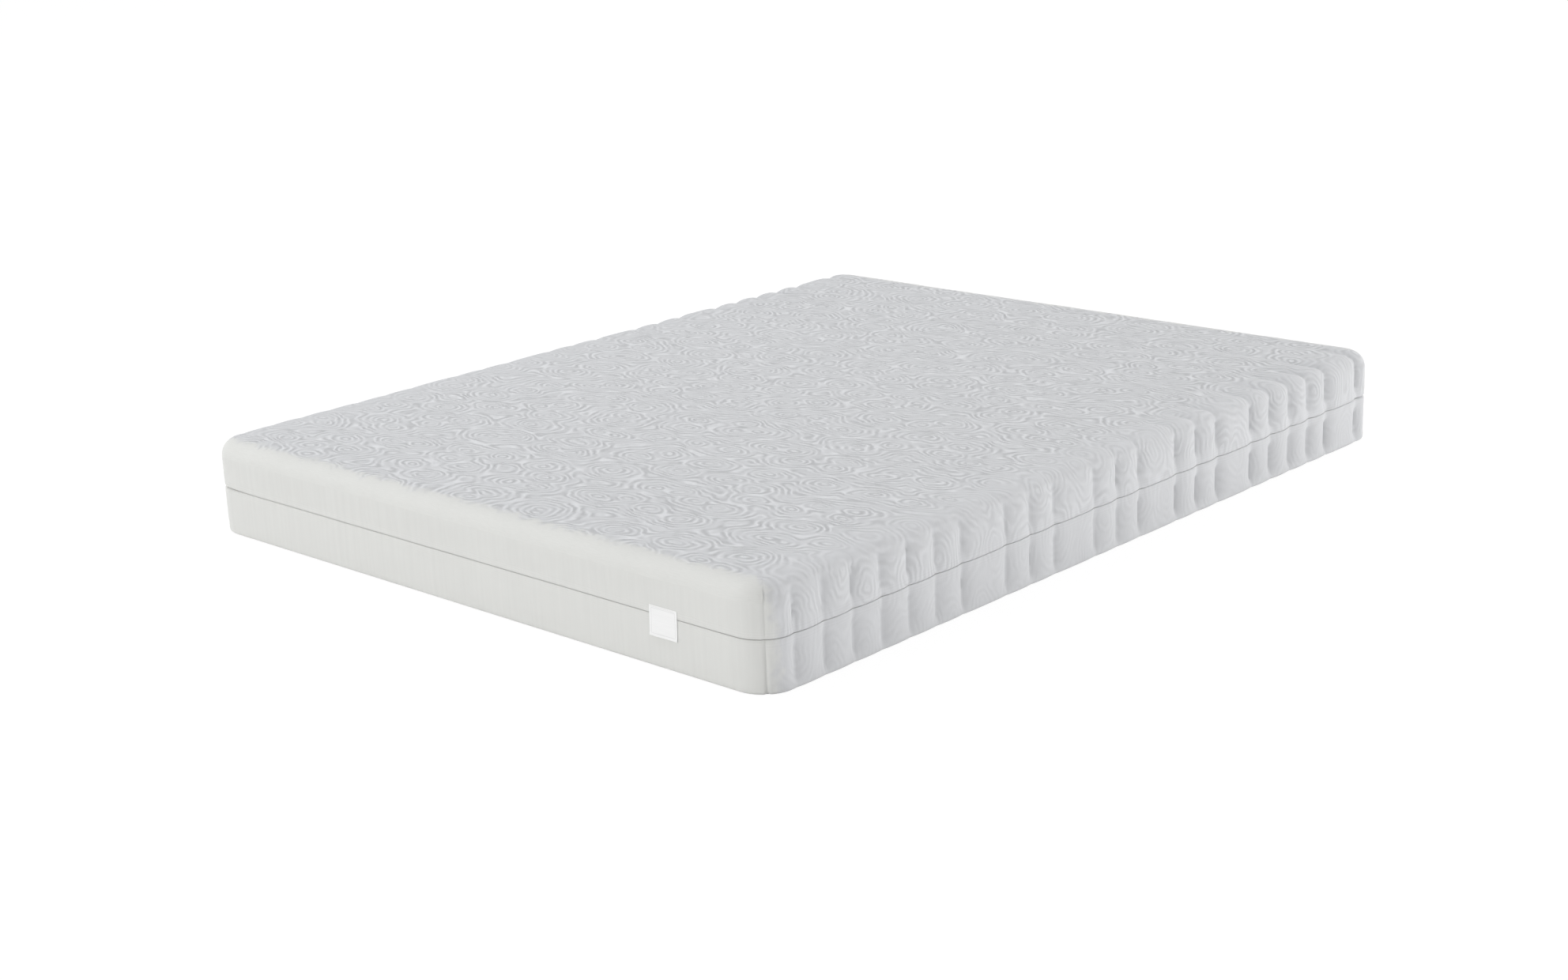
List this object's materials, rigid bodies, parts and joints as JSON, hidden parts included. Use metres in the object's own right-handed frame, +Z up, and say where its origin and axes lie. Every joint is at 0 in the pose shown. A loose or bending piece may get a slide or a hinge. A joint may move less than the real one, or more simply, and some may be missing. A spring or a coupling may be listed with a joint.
{
  "type": "memory foam mattress",
  "caption": "Memory foam mattress: ribbed, swirl-knit zip-off cover over a layered foam core, with a moving zip slider and pull, cover top and core.",
  "frame": {"origin": "middle of the underside, on the surface it lies on", "axes": "+Z up, +Y along the length towards the head end, +X across the width; the labelled foot end faces -Y"},
  "size_m": [1.6, 2.002, 0.2],
  "materials": {
    "jacquard_knit": "matte",
    "plain_knit": "matte",
    "base_cloth": "matte",
    "felt": "matte",
    "wadding": "matte",
    "backing": "matte",
    "binding": "matte",
    "zip_tape": "matte",
    "zip_coil": "satin",
    "zip_metal": "satin",
    "label_satin": "satin",
    "memory_foam": "matte",
    "comfort_foam": "matte",
    "support_foam": "matte"
  },
  "bodies": {
    "lower_cover": {"lower_side_panel_left": "jacquard_knit", "lower_side_panel_right": "jacquard_knit", "lower_end_panel_foot": "plain_knit", "lower_end_panel_head": "plain_knit", "base_panel": "base_cloth", "base_felt": "felt", "lower_wadding": "wadding", "lower_corner_tapes": "binding", "base_edge_seam": "binding", "zip_tape_lower": "zip_tape", "zip_coil_lower": "zip_coil", "zip_stops_lower": "zip_metal", "care_label": "label_satin"},
    "foam_core": {"memory_foam_layer": "memory_foam", "comfort_foam_layer": "comfort_foam", "support_foam_core": "support_foam"},
    "upper_cover": {"upper_wrap_panel": "jacquard_knit", "upper_end_panel_foot": "plain_knit", "upper_end_panel_head": "plain_knit", "upper_wadding": "wadding", "upper_backing": "backing", "upper_corner_tapes": "binding", "zip_tape_upper": "zip_tape", "zip_coil_upper": "zip_coil", "zip_stops_upper": "zip_metal", "label": "label_satin"},
    "zip_slider": {"zip_slider": "zip_metal"},
    "zip_pull": {"zip_pull": "zip_metal"}
  },
  "joints": [
    {"name": "core_lift_out", "type": "slide", "parent": "lower_cover", "child": "foam_core", "axis": [0, 0, 1], "range_m": [0, 0.25]},
    {"name": "upper_cover_lift_off", "type": "slide", "parent": "foam_core", "child": "upper_cover", "axis": [0, 0, 1], "range_m": [0, 0.2]},
    {"name": "zip_slide", "type": "slide", "parent": "lower_cover", "child": "zip_slider", "axis": [0, -1, 0], "range_m": [0, 1.78]},
    {"name": "zip_pull_swing", "type": "hinge", "parent": "zip_slider", "child": "zip_pull", "pos_m": [-0.7961, 0.89, 0.1], "axis": [0, 0, -1], "range_deg": [0, 180]}
  ]
}
